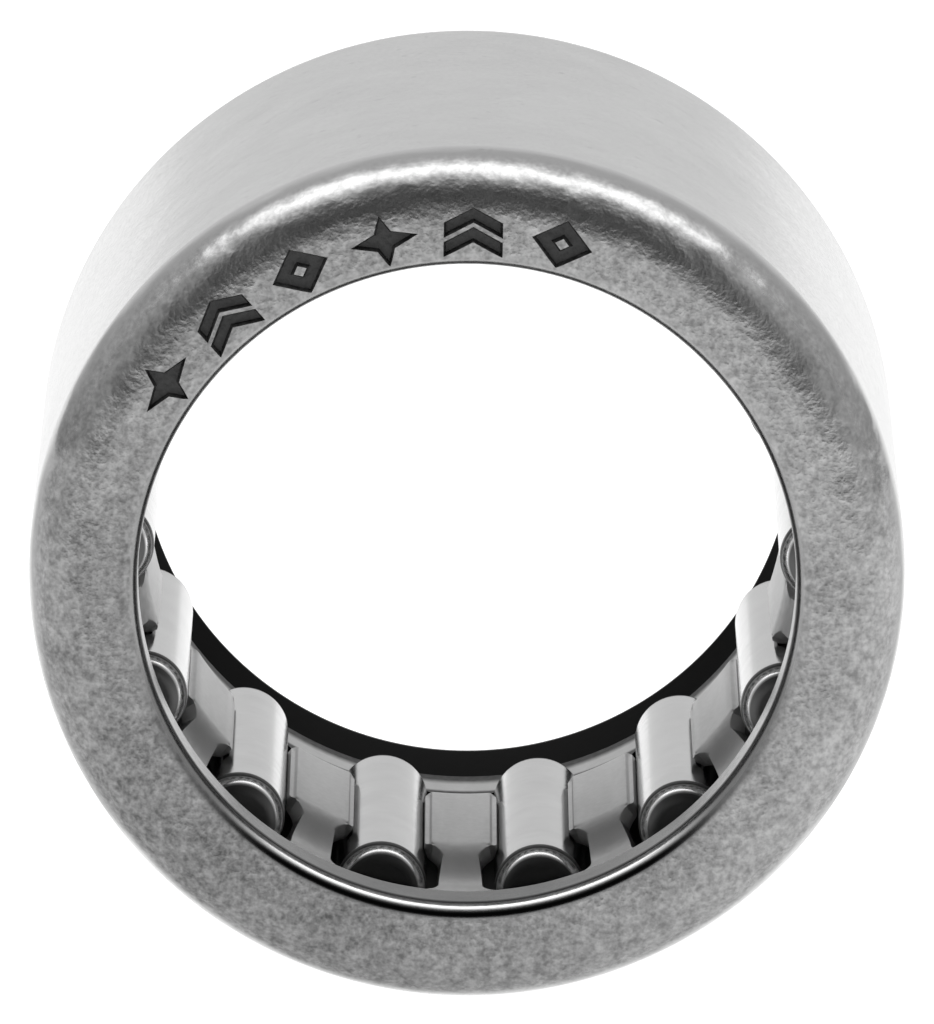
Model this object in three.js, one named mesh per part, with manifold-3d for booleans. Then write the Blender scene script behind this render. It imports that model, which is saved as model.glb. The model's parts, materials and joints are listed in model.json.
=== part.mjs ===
// Drawn cup needle roller bearing, open at both ends, for a 10 mm shaft in a 14 mm housing bore.
//
// The bearing turns about the Y axis. Its marked face looks towards -Y, and the origin is the
// middle of the bearing. All sizes are millimetres, and angles run round the Y axis from
// straight down (-Z) towards +X.
//
// It holds three kinds of piece:
//   the cup      one drawn steel shell with a lip at each end, whose inside is the outer raceway
//   the cage     one steel sleeve with a pocket for each needle and bars cranked inwards
//   the needles  loose steel rollers that run between the raceway and the shaft

import * as THREE from 'three';
import { mergeVertices } from 'three/addons/utils/BufferGeometryUtils.js';
import Module from 'manifold-3d';

// ---------------------------------------------------------------- driving dimensions

const shaftDiameter = 10;
const bearingWidth = 10;

// Needles
const needleCount = 14;
const needleDiameter = 1.5;
const needleEdgeRadius = 0.3;
const shaftClearance = 0.01; // between the needles and the shaft, on the radius
const racewayClearance = 0.02; // between the needles and the raceway, on the radius

// Cup
const cupWall = 0.47;
const frontLipThickness = 0.9;
const rearLipThickness = 0.65;
const frontLipClearance = 0.25; // between the shaft and the lip, on the radius
const rearLipClearance = 0.4;
const frontCornerRadius = 1.0;
const rearCornerRadius = 0.8;
const frontLipEdgeRadius = 0.25;
const rearLipEdgeRadius = 0.08;
const rearRimLand = 0.12; // the rear lip's short straight bore, before it slopes inwards
const rearRimSlope = 0.45; // how far the slope of the curled rim widens, on the radius
const innerEdgeRadius = 0.08;
const insideCornerRadius = 0.3;

// Cage
const cageSheet = 0.25;
const cageRingWidth = 1.0;
const cageEndClearance = 0.1; // between each end of the cage and the thicker lip
const needleEndClearance = 0.1;
const needleSideClearance = 0.01;
const plateShaftClearance = 0.2; // between the shaft and the bars' middle plates
const ringInset = 0.04; // how far the end rings' mid line lies inside the pitch circle
const plateSetback = 1.58; // from the end of a pocket to the start of the bar's middle plate
const crankLength = 1.2; // along the axis, from the plate's level to the ring's level
const crankSteps = 4;
const ledgeDrop = 0.07; // from a plate's inner face to the retaining ledge beside it
const ledgeThickness = 0.09;
const ledgeWidth = 0.1;
const earReach = 0.2; // how far the ends of a pocket are wider than its middle, each side
const earLead = 0.02; // how far before the plate's end the pocket starts to widen
const earBlendLength = 0.5;
const earCornerRadius = 0.4;
const cageTurn = THREE.MathUtils.degToRad(-1.1); // where the cage happens to stand at rest

// Punched marks on the front lip: plain shapes in a row round the bore
const markCount = 6;
const markPitch = THREE.MathUtils.degToRad(14);
const markRowAngle = THREE.MathUtils.degToRad(200); // the middle of the row
const markRowOffset = 0.07; // from the middle of the lip's flat band to the row, outwards
const markHeight = 0.7;
const markWidth = 0.86;
const markStroke = 0.16;
const markDepth = 0.1;
const starWaistShare = 0.7; // how thick the star's waist is, as a share of the stroke

// How finely round things are divided
const cupSegments = 84;
const cageSegments = 6 * needleCount;
const needleSegments = 16;
const cornerSteps = 5;
const smallCornerSteps = 2;
const curveSegments = 4;
const weldTolerance = 1e-5;

// ---------------------------------------------------------------- worked out from them

const shaftRadius = shaftDiameter / 2;
const needleRadius = needleDiameter / 2;
const pitchRadius = shaftRadius + shaftClearance + needleRadius;
const racewayRadius = pitchRadius + needleRadius + racewayClearance;
const cupRadius = racewayRadius + cupWall;
const halfWidth = bearingWidth / 2;
const frontBoreRadius = shaftRadius + frontLipClearance;
const rearBoreRadius = shaftRadius + rearLipClearance;

const thickerLip = Math.max(frontLipThickness, rearLipThickness);
const cageHalfLength = halfWidth - thickerLip - cageEndClearance;
const pocketHalfLength = cageHalfLength - cageRingWidth;
const needleHalfLength = pocketHalfLength - needleEndClearance;
const plateHalfLength = pocketHalfLength - plateSetback;
const ringMidRadius = pitchRadius - ringInset;
const plateMidRadius = shaftRadius + plateShaftClearance + cageSheet / 2;

// The pocket is narrower than the needle where the plates pass it, so a needle can't fall in. A
// thin ledge beside each plate comes nearest: its width follows the needle at the height of the
// ledge's outer face. The plate itself follows the needle at the height of its own outer edge.
const halfChord = (height) => Math.sqrt(needleRadius ** 2 - (pitchRadius - height) ** 2);
const plateInnerRadius = plateMidRadius - cageSheet / 2;
const plateOuterRadius = plateMidRadius + cageSheet / 2;
const plateInnerHeight = Math.sqrt(plateInnerRadius ** 2 - halfChord(plateOuterRadius) ** 2);
const plateOuterHeight = Math.sqrt(plateOuterRadius ** 2 - halfChord(plateOuterRadius) ** 2);
const ledgeInnerHeight = plateInnerHeight + ledgeDrop;
const ledgeOuterHeight = ledgeInnerHeight + ledgeThickness;
const pocketHalfWidth = halfChord(ledgeOuterHeight) + needleSideClearance;
const plateGapHalfWidth = Math.max(
  pocketHalfWidth + ledgeWidth,
  halfChord(plateOuterHeight) + needleSideClearance,
);
const earHalfWidth = plateGapHalfWidth + earReach;
const earBlendStart = plateHalfLength - earLead;
const earBlendEnd = earBlendStart + earBlendLength;

const pocketPitch = (2 * Math.PI) / needleCount;
const pocketAngle = (index) => (index + 0.5) * pocketPitch + cageTurn;

// ---------------------------------------------------------------- solids and booleans

const wasm = await Module();
wasm.setup();

function toSolid(geometry) {
  const bare = geometry.clone();
  bare.deleteAttribute('normal');
  bare.deleteAttribute('uv');
  const merged = mergeVertices(bare, weldTolerance);
  const mesh = new wasm.Mesh({
    numProp: 3,
    vertProperties: new Float32Array(merged.attributes.position.array),
    triVerts: new Uint32Array(merged.index.array),
  });
  mesh.merge();
  return new wasm.Manifold(mesh);
}

function toGeometry(solid) {
  const mesh = solid.getMesh();
  const geometry = new THREE.BufferGeometry();
  geometry.setAttribute('position', new THREE.BufferAttribute(mesh.vertProperties, 3));
  geometry.setIndex(new THREE.BufferAttribute(mesh.triVerts, 1));
  geometry.computeVertexNormals();
  return geometry;
}

// ---------------------------------------------------------------- outlines

// A section in (radius, height) from its corners [radius, height, rounding], each rounded by an
// arc that meets both sides.
function roundedSection(corners) {
  const points = [];
  corners.forEach(([radius, height, rounding, steps], index) => {
    const before = corners[(index + corners.length - 1) % corners.length];
    const after = corners[(index + 1) % corners.length];
    const corner = new THREE.Vector2(radius, height);
    if (!rounding) {
      points.push(corner);
      return;
    }
    const inward = new THREE.Vector2(before[0], before[1]).sub(corner).normalize();
    const onward = new THREE.Vector2(after[0], after[1]).sub(corner).normalize();
    const opening = Math.acos(inward.dot(onward));
    const reach = rounding / Math.tan(opening / 2);
    const start = corner.clone().addScaledVector(inward, reach);
    const end = corner.clone().addScaledVector(onward, reach);
    const toCentre = inward.clone().add(onward).normalize();
    const centre = corner.clone().addScaledVector(toCentre, rounding / Math.sin(opening / 2));
    const from = start.clone().sub(centre).angle();
    let sweep = end.clone().sub(centre).angle() - from;
    if (sweep > Math.PI) sweep -= 2 * Math.PI;
    if (sweep < -Math.PI) sweep += 2 * Math.PI;
    for (let step = 0; step <= steps; step += 1) {
      const angle = from + (sweep * step) / steps;
      const x = centre.x + rounding * Math.cos(angle);
      const y = centre.y + rounding * Math.sin(angle);
      points.push(new THREE.Vector2(x, y));
    }
  });
  return points;
}

function ringOf(section, segments) {
  return new THREE.LatheGeometry([...section, section[0].clone()], segments);
}

// One pocket, seen from outside: x round the cage, y along it. Its ends swell into rounded ears
// that leave the bars' necks narrow and keep the needle's edges free.
function pocketShape() {
  const blendStart = earBlendStart;
  const blendEnd = earBlendEnd;
  const blendMiddle = (blendStart + blendEnd) / 2;
  const cornerStart = pocketHalfLength - earCornerRadius;
  const cornerX = earHalfWidth - earCornerRadius;
  const shape = new THREE.Shape();
  shape.moveTo(pocketHalfWidth, -blendStart);
  shape.lineTo(pocketHalfWidth, blendStart);
  shape.bezierCurveTo(pocketHalfWidth, blendMiddle, earHalfWidth, blendMiddle, earHalfWidth, blendEnd);
  shape.lineTo(earHalfWidth, cornerStart);
  shape.absarc(cornerX, cornerStart, earCornerRadius, 0, Math.PI / 2, false);
  shape.lineTo(-cornerX, pocketHalfLength);
  shape.absarc(-cornerX, cornerStart, earCornerRadius, Math.PI / 2, Math.PI, false);
  shape.lineTo(-earHalfWidth, blendEnd);
  shape.bezierCurveTo(
    -earHalfWidth, blendMiddle, -pocketHalfWidth, blendMiddle, -pocketHalfWidth, blendStart,
  );
  shape.lineTo(-pocketHalfWidth, -blendStart);
  shape.bezierCurveTo(
    -pocketHalfWidth, -blendMiddle, -earHalfWidth, -blendMiddle, -earHalfWidth, -blendEnd,
  );
  shape.lineTo(-earHalfWidth, -cornerStart);
  shape.absarc(-cornerX, -cornerStart, earCornerRadius, Math.PI, 1.5 * Math.PI, false);
  shape.lineTo(cornerX, -pocketHalfLength);
  shape.absarc(cornerX, -cornerStart, earCornerRadius, 1.5 * Math.PI, 2 * Math.PI, false);
  shape.lineTo(earHalfWidth, -blendEnd);
  shape.bezierCurveTo(
    earHalfWidth, -blendMiddle, pocketHalfWidth, -blendMiddle, pocketHalfWidth, -blendStart,
  );
  return shape;
}

function polygon(corners) {
  return new THREE.Shape(corners.map(([x, y]) => new THREE.Vector2(x, y)));
}

// A diamond drawn as a line of even width.
function openDiamond() {
  const halfWide = markWidth / 2;
  const halfHigh = markHeight / 2;
  const inset = markStroke * Math.hypot(1 / halfWide, 1 / halfHigh);
  const shape = polygon([[halfWide, 0], [0, halfHigh], [-halfWide, 0], [0, -halfHigh]]);
  const share = 1 - inset;
  const hole = [[0, -halfHigh], [-halfWide, 0], [0, halfHigh], [halfWide, 0]];
  shape.holes.push(polygon(hole.map(([x, y]) => [x * share, y * share])));
  return [shape];
}

// Two nested arrowheads that point outwards.
function doubleChevron() {
  const halfWide = markWidth / 2;
  const rise = markHeight / 3;
  const lift = markHeight / 2;
  return [-lift, -lift + 2 * markStroke].map((foot) => polygon([
    [-halfWide, foot], [0, foot + rise], [halfWide, foot],
    [halfWide, foot + markStroke], [0, foot + rise + markStroke], [-halfWide, foot + markStroke],
  ]));
}

// A star with four points and hollow sides.
function fourPointStar() {
  const waist = markStroke * starWaistShare;
  const halfWide = markWidth / 2;
  const halfHigh = markHeight / 2;
  return [polygon([
    [halfWide, 0], [waist, waist], [0, halfHigh], [-waist, waist],
    [-halfWide, 0], [-waist, -waist], [0, -halfHigh], [waist, -waist],
  ])];
}

// ---------------------------------------------------------------- the cup

function cupSection() {
  const insideFront = -halfWidth + frontLipThickness;
  const insideRear = halfWidth - rearLipThickness;
  return roundedSection([
    [frontBoreRadius, -halfWidth, frontLipEdgeRadius, smallCornerSteps],
    [cupRadius, -halfWidth, frontCornerRadius, cornerSteps],
    [cupRadius, halfWidth, rearCornerRadius, cornerSteps],
    [rearBoreRadius, halfWidth, rearLipEdgeRadius, smallCornerSteps],
    [rearBoreRadius, halfWidth - rearRimLand, 0],
    [rearBoreRadius + rearRimSlope, insideRear, innerEdgeRadius, 1],
    [racewayRadius, insideRear, insideCornerRadius, smallCornerSteps],
    [racewayRadius, insideFront, insideCornerRadius, smallCornerSteps],
    [frontBoreRadius, insideFront, innerEdgeRadius, 1],
  ]);
}

// The cutter for one mark: its outline stands on the front face with its foot towards the bore.
function markCutter(outline, angle) {
  const cutter = new THREE.ExtrudeGeometry(outline, { depth: 2 * markDepth, bevelEnabled: false });
  const flatMiddle = (frontBoreRadius + frontLipEdgeRadius + cupRadius - frontCornerRadius) / 2;
  cutter.rotateX(Math.PI / 2);
  cutter.translate(0, -halfWidth + markDepth, flatMiddle + markRowOffset);
  cutter.rotateY(Math.PI - angle);
  return toSolid(cutter);
}

function makeCup() {
  let solid = toSolid(ringOf(cupSection(), cupSegments));
  const kinds = [openDiamond, doubleChevron, fourPointStar];
  for (let index = 0; index < markCount; index += 1) {
    const angle = markRowAngle + (index - (markCount - 1) / 2) * markPitch;
    const outlines = kinds[index % kinds.length]();
    outlines.forEach((outline) => {
      solid = solid.subtract(markCutter(outline, angle));
    });
  }
  return toGeometry(solid);
}

// ---------------------------------------------------------------- the cage

// The sheet's mid line, from the bar's middle plate through the crank to the ring.
function cageSection() {
  const half = cageSheet / 2;
  const rise = ringMidRadius - plateMidRadius;
  const upperHalf = [];
  for (let step = 0; step <= crankSteps; step += 1) {
    const share = step / crankSteps;
    const eased = share * share * (3 - 2 * share);
    upperHalf.push([plateMidRadius + rise * eased, plateHalfLength + crankLength * share]);
  }
  upperHalf.push([ringMidRadius, cageHalfLength]);
  const lowerHalf = upperHalf.map(([radius, height]) => [radius, -height]).reverse();
  const line = [...lowerHalf, ...upperHalf];
  const outside = line.map(([radius, height]) => new THREE.Vector2(radius + half, height));
  const inside = line.map(([radius, height]) => new THREE.Vector2(radius - half, height));
  return [...outside, ...inside.reverse()];
}

// Widens a pocket beside the plates between two heights, which leaves the ledge in between.
function gapCutter(low, high) {
  const cutter = new THREE.BoxGeometry(2 * plateGapHalfWidth, 2 * earBlendEnd, high - low);
  cutter.translate(0, 0, (low + high) / 2);
  return cutter;
}

function makeCage() {
  const sleeve = ringOf(cageSection(), cageSegments);
  sleeve.rotateY(Math.PI / cageSegments);
  let solid = toSolid(sleeve);
  const inward = shaftRadius - plateShaftClearance;
  for (let index = 0; index < needleCount; index += 1) {
    const pocket = new THREE.ExtrudeGeometry(pocketShape(), {
      depth: racewayRadius - inward,
      bevelEnabled: false,
      curveSegments,
    });
    pocket.translate(0, 0, inward);
    const cutters = [
      pocket,
      gapCutter(inward, ledgeInnerHeight),
      gapCutter(ledgeOuterHeight, racewayRadius),
    ];
    for (const cutter of cutters) {
      cutter.rotateY(index * pocketPitch);
      solid = solid.subtract(toSolid(cutter));
    }
  }
  return toGeometry(solid);
}

// ---------------------------------------------------------------- the needles

function makeNeedle() {
  const rounded = roundedSection([
    [0, -needleHalfLength, 0],
    [needleRadius, -needleHalfLength, needleEdgeRadius, smallCornerSteps],
    [needleRadius, needleHalfLength, needleEdgeRadius, smallCornerSteps],
    [0, needleHalfLength, 0],
  ]);
  return new THREE.LatheGeometry(rounded, needleSegments);
}

// ---------------------------------------------------------------- assembly

function steel(color, roughness) {
  return new THREE.MeshStandardMaterial({ color, roughness, metalness: 1 });
}

const bearing = new THREE.Group();

const cup = new THREE.Mesh(makeCup(), steel(0xb4b6b8, 0.38));
cup.name = 'drawn_cup';
bearing.add(cup);

const cage = new THREE.Mesh(makeCage(), steel(0x9a9c9e, 0.42));
cage.name = 'needle_cage';
cage.rotation.y = Math.PI - pocketAngle(0);
bearing.add(cage);

for (let index = 0; index < needleCount; index += 1) {
  const angle = pocketAngle(index);
  const needle = new THREE.Mesh(makeNeedle(), steel(0xd6d8da, 0.16));
  needle.name = `needle_roller_${String(index + 1).padStart(2, '0')}`;
  needle.position.set(pitchRadius * Math.sin(angle), 0, -pitchRadius * Math.cos(angle));
  needle.rotation.y = -angle;
  bearing.add(needle);
}

export default bearing;
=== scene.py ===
# %% [markdown]
# # A drawn cup needle roller bearing
# This lesson dresses a small steel bearing: a thin shell with lips at both ends, a sheet steel
# cage, and fourteen loose needles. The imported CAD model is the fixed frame. It says how large
# each piece is, where it stands and what it turns with. Blender adds the fine surfaces: edges
# with real rounding, punched marks, and steel finishes that look like steel close up.

# %% Load the frame
import json
import math

import bmesh
import bpy
from mathutils import Matrix, Vector


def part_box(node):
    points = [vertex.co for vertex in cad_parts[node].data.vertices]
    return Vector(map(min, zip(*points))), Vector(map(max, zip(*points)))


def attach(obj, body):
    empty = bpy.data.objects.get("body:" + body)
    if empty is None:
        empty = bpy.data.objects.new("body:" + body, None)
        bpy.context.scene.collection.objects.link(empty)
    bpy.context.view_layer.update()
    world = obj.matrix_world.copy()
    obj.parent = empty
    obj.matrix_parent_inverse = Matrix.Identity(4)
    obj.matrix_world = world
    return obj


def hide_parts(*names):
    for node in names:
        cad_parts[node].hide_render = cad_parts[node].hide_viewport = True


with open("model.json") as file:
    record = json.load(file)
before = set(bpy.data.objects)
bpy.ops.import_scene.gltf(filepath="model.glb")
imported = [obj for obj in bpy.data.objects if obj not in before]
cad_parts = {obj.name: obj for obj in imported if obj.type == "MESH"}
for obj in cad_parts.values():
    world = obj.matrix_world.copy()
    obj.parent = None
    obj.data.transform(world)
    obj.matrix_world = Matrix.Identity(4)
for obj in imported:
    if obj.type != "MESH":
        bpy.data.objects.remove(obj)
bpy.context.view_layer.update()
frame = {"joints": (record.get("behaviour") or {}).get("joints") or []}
scene = bpy.context.scene
MM = 0.001

# %% [markdown]
# ## Sizes
# The outer sizes are read from the frame, so they can't drift away from it. The sizes that the
# frame doesn't state, such as a lip's thickness or an edge's rounding, are named here once, in
# metres. Everything later is worked out from these two groups.

# %% Sizes read from the frame
cup_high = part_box("drawn_cup")[1]
cage_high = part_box("needle_cage")[1]
needle_low, needle_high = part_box("needle_roller_01")
spins = [j for j in frame["joints"] if j["name"].startswith("needle_")]
needle_count = len(spins)

cup_radius = cup_high.z
half_width = cup_high.y
cage_half_length = cage_high.y
needle_half_length = needle_high.y
needle_radius = (needle_high.x - needle_low.x) / 2
pitch_radius = math.hypot(spins[0]["pos_m"][0], spins[0]["pos_m"][2])
pocket_pitch = 2 * math.pi / needle_count
first_pocket = math.atan2(spins[0]["pos_m"][0], -spins[0]["pos_m"][2])
print(needle_count, "needles,", round(2 * needle_radius / MM, 2), "mm thick")
print("their axes stand on a radius of", round(pitch_radius / MM, 2), "mm")

# %% Sizes the frame doesn't state
cup_wall = 0.47 * MM
front_lip = 0.9 * MM
rear_lip = 0.65 * MM
front_bore = 5.25 * MM
rear_bore = 5.4 * MM
front_corner = 1.0 * MM
rear_corner = 0.8 * MM
front_edge = 0.25 * MM
rear_edge = 0.08 * MM
rear_rim_land = 0.12 * MM
rear_rim_slope = 0.45 * MM
rear_rim_crease = 0.04 * MM
inner_edge = 0.08 * MM
inside_corner = 0.3 * MM

cage_sheet = 0.25 * MM
ring_width = 1.0 * MM
plate_inner_radius = 5.2 * MM
ring_inset = 0.04 * MM
plate_setback = 1.58 * MM
crank_length = 1.2 * MM
ledge_drop = 0.07 * MM
ledge_thickness = 0.09 * MM
ledge_width = 0.1 * MM
ear_reach = 0.2 * MM
ear_lead = 0.02 * MM
ear_blend = 0.5 * MM
ear_corner = 0.4 * MM
side_clearance = 0.01 * MM
sheet_edge = 0.035 * MM

needle_edge = 0.3 * MM

raceway_radius = cup_radius - cup_wall
pocket_half_length = cage_half_length - ring_width
plate_half_length = pocket_half_length - plate_setback

# %% [markdown]
# ## Camera
# A product shot of a part this small is taken with a long lens from far away, which keeps the
# circles nearly true. The camera looks at the marked lip from a little above the bearing's axis,
# so it sees down onto the needles through the bore.

# %% Camera
LENS, FILM_SIDE = 556.3, 36
CAMERA_PLACE = Vector((0, -248.6 * MM, 64.1 * MM))
LOOK_AT = Vector((0, -4.69 * MM, 1.17 * MM))

camera_data = bpy.data.cameras.new("product_camera")
camera_data.lens = LENS
camera_data.sensor_width = FILM_SIDE
camera_data.clip_start = 0.01
camera_data.clip_end = 20
camera = bpy.data.objects.new("product_camera", camera_data)
scene.collection.objects.link(camera)
camera.location = CAMERA_PLACE
camera.rotation_euler = (LOOK_AT - CAMERA_PLACE).to_track_quat("-Z", "Y").to_euler()
scene.camera = camera
print("camera distance in mm:", round((LOOK_AT - CAMERA_PLACE).length / MM, 1))

# %% [markdown]
# ## Studio
# Polished steel has no look of its own: it shows the room. So the room is designed first. It is
# a light tent: a bright band that arches overhead from left to right, a white wall behind the
# bearing, and a dark side where the camera stands. The arch draws the bright line round the
# shell's corner, and the dark side gives the lip's face its grey.
#
# A world whose brightness follows one direction does this with no noise. Direction +Y points
# from the camera to the back wall, so one ramp along Y holds the tent from front to back. Far
# to the left and right it has even grey walls, which keep the shell's sides calm. The camera
# itself sees none of this, only a plain white backdrop.

# %% Light tent
scene.view_settings.view_transform = "Standard"

TENT = (
    # share of the way from the camera's side (0) to the back wall (1), brightness
    (0.00, 0.05),
    (0.25, 0.04),
    (0.34, 1.35),
    (0.62, 1.50),
    (0.70, 0.75),
    (0.86, 0.75),
    (0.94, 0.90),
    (1.00, 0.94),
)
SIDE_START, SIDE_FULL = 0.5, 0.8  # how far to the side a wall begins and is in full
SIDE_LEVEL = 0.6
BACKDROP_LEVEL = 1.05


def build_tent():
    world = bpy.data.worlds.new("light_tent")
    world.use_nodes = True
    nodes, links = world.node_tree.nodes, world.node_tree.links
    nodes.clear()
    output = nodes.new("ShaderNodeOutputWorld")
    seen = nodes.new("ShaderNodeBackground")
    seen.inputs["Color"].default_value = (1, 1, 1, 1)
    seen.inputs["Strength"].default_value = BACKDROP_LEVEL
    lit = nodes.new("ShaderNodeBackground")
    lit.inputs["Strength"].default_value = 1.0
    mix = nodes.new("ShaderNodeMixShader")
    path = nodes.new("ShaderNodeLightPath")
    coordinates = nodes.new("ShaderNodeTexCoord")
    split = nodes.new("ShaderNodeSeparateXYZ")
    spread = nodes.new("ShaderNodeMapRange")
    spread.inputs["From Min"].default_value = -1
    spread.inputs["From Max"].default_value = 1
    ramp = nodes.new("ShaderNodeValToRGB")
    wide = nodes.new("ShaderNodeMath")
    wide.operation = "ABSOLUTE"
    sides = nodes.new("ShaderNodeMapRange")
    sides.interpolation_type = "SMOOTHSTEP"
    sides.inputs["From Min"].default_value = SIDE_START
    sides.inputs["From Max"].default_value = SIDE_FULL
    walls = nodes.new("ShaderNodeMix")
    walls.data_type = "RGBA"
    walls.inputs["B"].default_value = (SIDE_LEVEL, SIDE_LEVEL, SIDE_LEVEL, 1)
    stops = ramp.color_ramp.elements
    while len(stops) < len(TENT):
        stops.new(0.5)
    for stop, (place, level) in zip(stops, TENT):
        stop.position = place
        stop.color = (level, level, level, 1)
    links.new(coordinates.outputs["Generated"], split.inputs[0])
    links.new(split.outputs["Y"], spread.inputs["Value"])
    links.new(spread.outputs[0], ramp.inputs["Fac"])
    links.new(split.outputs["X"], wide.inputs[0])
    links.new(wide.outputs[0], sides.inputs["Value"])
    links.new(sides.outputs[0], walls.inputs["Factor"])
    links.new(ramp.outputs["Color"], walls.inputs["A"])
    links.new(walls.outputs["Result"], lit.inputs["Color"])
    links.new(path.outputs["Is Camera Ray"], mix.inputs["Fac"])
    links.new(lit.outputs[0], mix.inputs[1])
    links.new(seen.outputs[0], mix.inputs[2])
    links.new(mix.outputs[0], output.inputs["Surface"])
    return world


scene.world = build_tent()
print("light tent:", len(TENT), "stops")

# %% [markdown]
# The floor is a white table. It is large, so that its edge is never seen, and it glows a little,
# which keeps it nearly white round the bearing's soft shadow.

# %% Floor and lamp
FLOOR_REACH = 3.0  # metres
FLOOR_GREY = 0.40
FLOOR_GLOW = 0.93
SOFTBOX_SIZE = 0.60, 0.10
SOFTBOX_PLACE = 0, -0.01, 0.28
SOFTBOX_WATTS = 0.24


def build_floor():
    mesh = bpy.data.meshes.new("studio_floor")
    corners = [(-FLOOR_REACH, -FLOOR_REACH), (FLOOR_REACH, -FLOOR_REACH)]
    corners += [(FLOOR_REACH, FLOOR_REACH), (-FLOOR_REACH, FLOOR_REACH)]
    mesh.from_pydata([(x, y, -cup_radius) for x, y in corners], [], [(0, 1, 2, 3)])
    floor = bpy.data.objects.new("studio_floor", mesh)
    scene.collection.objects.link(floor)
    material = bpy.data.materials.new("white_table")
    material.use_nodes = True
    shader = material.node_tree.nodes["Principled BSDF"]
    shader.inputs["Base Color"].default_value = (FLOOR_GREY, FLOOR_GREY, FLOOR_GREY, 1)
    shader.inputs["Roughness"].default_value = 0.9
    shader.inputs["Specular IOR Level"].default_value = 0.1
    shader.inputs["Emission Color"].default_value = (1, 1, 1, 1)
    shader.inputs["Emission Strength"].default_value = FLOOR_GLOW
    mesh.materials.append(material)


build_floor()

softbox_data = bpy.data.lights.new("overhead_softbox", "AREA")
softbox_data.shape = "RECTANGLE"
softbox_data.size, softbox_data.size_y = SOFTBOX_SIZE
softbox_data.energy = SOFTBOX_WATTS
softbox = bpy.data.objects.new("overhead_softbox", softbox_data)
softbox.location = SOFTBOX_PLACE
scene.collection.objects.link(softbox)
print("floor at", round(-cup_radius / MM, 2), "mm")

# %% [markdown]
# ## Steel finishes
# All pieces are steel, but each is finished another way, and that is what tells them apart:
# the shell's cylinder is smooth and satin, its ends are tumbled with the other parts and look
# mottled, the cage is pressed sheet, and the needles are ground and lapped bright.
#
# Each finish is one Principled shader. Colour, roughness and bump come from noise on Object
# coordinates, which are metres here, so a noise scale of 8000 means blotches of about an eighth
# of a millimetre. Small helpers keep the node code readable.

# %% Node helpers
class Finish:
    """A metal material that is built up step by step."""

    def __init__(self, name):
        self.material = bpy.data.materials.new(name)
        self.material.use_nodes = True
        self.tree = self.material.node_tree
        self.shader = self.tree.nodes["Principled BSDF"]
        self.shader.inputs["Metallic"].default_value = 1.0
        self.place = self.node("ShaderNodeTexCoord").outputs["Object"]

    def node(self, kind, **settings):
        made = self.tree.nodes.new(kind)
        for key, value in settings.items():
            setattr(made, key, value)
        return made

    def feed(self, socket, value):
        if isinstance(value, bpy.types.NodeSocket):
            self.tree.links.new(value, socket)
        else:
            socket.default_value = value

    def noise(self, scale, detail=2.0, roughness=0.5, stretch=(1, 1, 1)):
        mapping = self.node("ShaderNodeMapping")
        mapping.inputs["Scale"].default_value = stretch
        self.feed(mapping.inputs["Vector"], self.place)
        made = self.node("ShaderNodeTexNoise")
        self.feed(made.inputs["Vector"], mapping.outputs[0])
        made.inputs["Scale"].default_value = scale
        made.inputs["Detail"].default_value = detail
        made.inputs["Roughness"].default_value = roughness
        return made.outputs["Fac"]

    def math(self, operation, first, second=0.0, clamp=False):
        made = self.node("ShaderNodeMath", operation=operation, use_clamp=clamp)
        self.feed(made.inputs[0], first)
        self.feed(made.inputs[1], second)
        return made.outputs[0]

    def span(self, value, low, high, to_low=0.0, to_high=1.0, smooth=False):
        kind = "SMOOTHSTEP" if smooth else "LINEAR"
        made = self.node("ShaderNodeMapRange", interpolation_type=kind)
        self.feed(made.inputs["Value"], value)
        self.feed(made.inputs["From Min"], low)
        self.feed(made.inputs["From Max"], high)
        self.feed(made.inputs["To Min"], to_low)
        self.feed(made.inputs["To Max"], to_high)
        return made.outputs[0]

    def vary(self, noise, low, high, usual=(0.3, 0.7)):
        """Spreads a noise from low to high. Its values are mostly in the usual range."""
        return self.span(noise, *usual, low, high)

    def both(self, first, second):
        """1 only where both masks are 1."""
        return self.math("MULTIPLY", first, second)

    def mix(self, share, first, second):
        made = self.node("ShaderNodeMix", data_type="FLOAT")
        self.feed(made.inputs[0], share)
        self.feed(made.inputs[2], first)
        self.feed(made.inputs[3], second)
        return made.outputs[0]

    def grey(self, value):
        made = self.node("ShaderNodeCombineColor")
        for socket in made.inputs:
            self.feed(socket, value)
        return made.outputs[0]

    def bump(self, height, distance, under=None):
        made = self.node("ShaderNodeBump")
        made.inputs["Strength"].default_value = 1.0
        made.inputs["Distance"].default_value = distance
        self.feed(made.inputs["Height"], height)
        if under is not None:
            self.feed(made.inputs["Normal"], under)
        return made.outputs[0]


print("finish helpers ready")

# %% [markdown]
# ### The shell
# One material covers the whole shell, and masks made from the point's own place tell its zones
# apart. Three distances are enough: from the end plane, from the lip's bore and from the
# cylinder. Towards either end the tumbled finish takes over: small blotches in colour and
# roughness, and shallow dimples. The cylinder keeps a calm satin with a few faint specks. A slow,
# wide wave bends reflections on the drawn corner, as drawing does.
#
# At the bottom a painted dark line, which stands in for a dark reflection, runs round the lip just
# outside the bore's rounding, and that rounding carries a painted highlight, as does the top of the
# shell's corners. The lip's bore and the inside of the shell are painted nearly black, which is
# painted shade, and the face is painted lighter to the right and towards the top.

# %% Zones of the shell
# Each pair says at what distance in mm a zone starts, and at what distance it is in full.
# First the distances from the nearer end plane.
FACE_DEPTH = 0.75, 0.35
ROUGH_DEPTH = 0.50, 0.04
DIMPLE_DEPTH = 0.30, 0.02
TOP_HIGHLIGHT_DEPTH = 0.10, 0.40
BEND_DEPTH = 0.85, 0.60

# Distances outwards from the front lip's bore.
FACE_FROM_BORE = 0.08, 0.15
DIMPLES_FROM_BORE = 0.20, 0.28
LINE_FROM_BORE = 0.10, 0.13
LINE_END_FROM_BORE = 0.23, 0.18
BORE_WALL = 0.03, 0.01

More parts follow.
